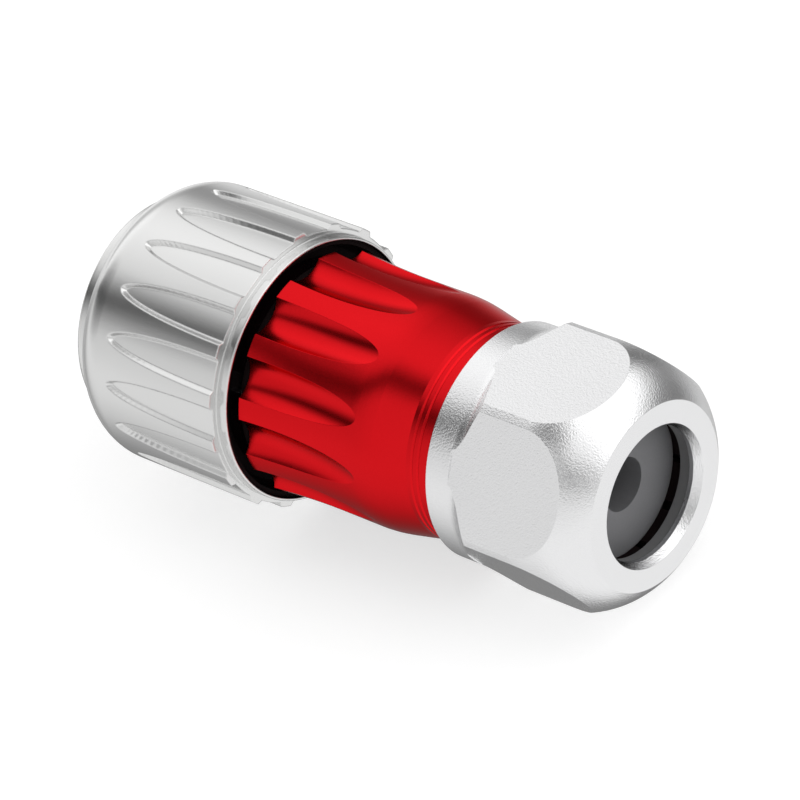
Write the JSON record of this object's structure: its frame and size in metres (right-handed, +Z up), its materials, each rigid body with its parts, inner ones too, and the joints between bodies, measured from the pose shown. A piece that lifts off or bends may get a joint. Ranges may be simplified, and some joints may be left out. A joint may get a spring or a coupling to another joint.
{
  "type": "push-pull circular cable connector",
  "caption": "Straight cable plug with a sprung push-pull sleeve, ball lock, fluted backshell and a hexagonal domed gland nut.",
  "frame": {"origin": "centre of the mating mouth, at the front face of the plug shell's nose", "axes": "+X along the connector from the mating mouth to the cable gland, +Z up, the connector lying on its side with one flat of the gland nut down"},
  "size_m": [0.0756, 0.0342, 0.0342],
  "materials": {
    "nickel": "satin nickel plate",
    "blasted_nickel": "bead-blasted nickel plate",
    "red_anodised": "satin red anodised",
    "plain_steel": "plain ground steel",
    "ball_steel": "polished",
    "contact_gold": "gold plate",
    "bare_brass": "turned brass",
    "black_plastic": "moulded matt",
    "grey_plastic": "moulded matt",
    "black_rubber": "moulded rubber",
    "grey_rubber": "moulded rubber"
  },
  "bodies": {
    "plug": {"plug_shell": "nickel", "interface_seal": "black_rubber", "contact_insert": "black_plastic", "rear_insert": "grey_plastic", "contact_1": "contact_gold", "contact_2": "contact_gold", "contact_3": "contact_gold", "contact_4": "contact_gold", "terminal_screws": "plain_steel", "clamp_ring": "bare_brass", "return_spring": "plain_steel", "spring_seat": "plain_steel", "retaining_ring": "plain_steel", "shell_gasket": "black_rubber", "backshell": "red_anodised", "clamp_cage": "black_plastic", "cable_seal": "grey_rubber"},
    "sleeve": {"coupling_sleeve": "nickel", "cam_ring": "plain_steel", "sleeve_bush": "black_plastic"},
    "ball_1": {"lock_ball_1": "ball_steel"},
    "ball_2": {"lock_ball_2": "ball_steel"},
    "ball_3": {"lock_ball_3": "ball_steel"},
    "ball_4": {"lock_ball_4": "ball_steel"},
    "ball_5": {"lock_ball_5": "ball_steel"},
    "ball_6": {"lock_ball_6": "ball_steel"},
    "washer": {"slip_washer": "grey_plastic"},
    "nut": {"gland_nut": "blasted_nickel"}
  },
  "joints": [
    {"name": "sleeve_pull", "type": "slide", "parent": "plug", "child": "sleeve", "axis": [1, 0, 0], "range_m": [0, 0.0035], "stiffness_N_per_m": 1500, "springref_m": -0.004, "deforming": ["return_spring"]},
    {"name": "ball_1_out", "type": "slide", "parent": "plug", "child": "ball_1", "axis": [0, 0.5, 0.866], "range_m": [0, 0.00076]},
    {"name": "ball_2_out", "type": "slide", "parent": "plug", "child": "ball_2", "axis": [0, 1, 0], "range_m": [0, 0.00076]},
    {"name": "ball_3_out", "type": "slide", "parent": "plug", "child": "ball_3", "axis": [0, 0.5, -0.866], "range_m": [0, 0.00076]},
    {"name": "ball_4_out", "type": "slide", "parent": "plug", "child": "ball_4", "axis": [0, -0.5, -0.866], "range_m": [0, 0.00076]},
    {"name": "ball_5_out", "type": "slide", "parent": "plug", "child": "ball_5", "axis": [0, -1, 0], "range_m": [0, 0.00076]},
    {"name": "ball_6_out", "type": "slide", "parent": "plug", "child": "ball_6", "axis": [0, -0.5, 0.866], "range_m": [0, 0.00076]},
    {"name": "gland_travel", "type": "slide", "parent": "plug", "child": "washer", "axis": [1, 0, 0], "range_m": [0, 0.006]},
    {"name": "gland_turn", "type": "hinge", "parent": "washer", "child": "nut", "pos_m": [0.065, 0, 0], "axis": [1, 0, 0], "range_deg": [0, 1440]}
  ],
  "couplings": [
    {"joint": "ball_1_out", "follows": "sleeve_pull", "ratio": 0.21429},
    {"joint": "ball_2_out", "follows": "sleeve_pull", "ratio": 0.21429},
    {"joint": "ball_3_out", "follows": "sleeve_pull", "ratio": 0.21429},
    {"joint": "ball_4_out", "follows": "sleeve_pull", "ratio": 0.21429},
    {"joint": "ball_5_out", "follows": "sleeve_pull", "ratio": 0.21429},
    {"joint": "ball_6_out", "follows": "sleeve_pull", "ratio": 0.21429},
    {"joint": "gland_travel", "follows": "gland_turn", "m_per_rad": 0.00023873}
  ]
}
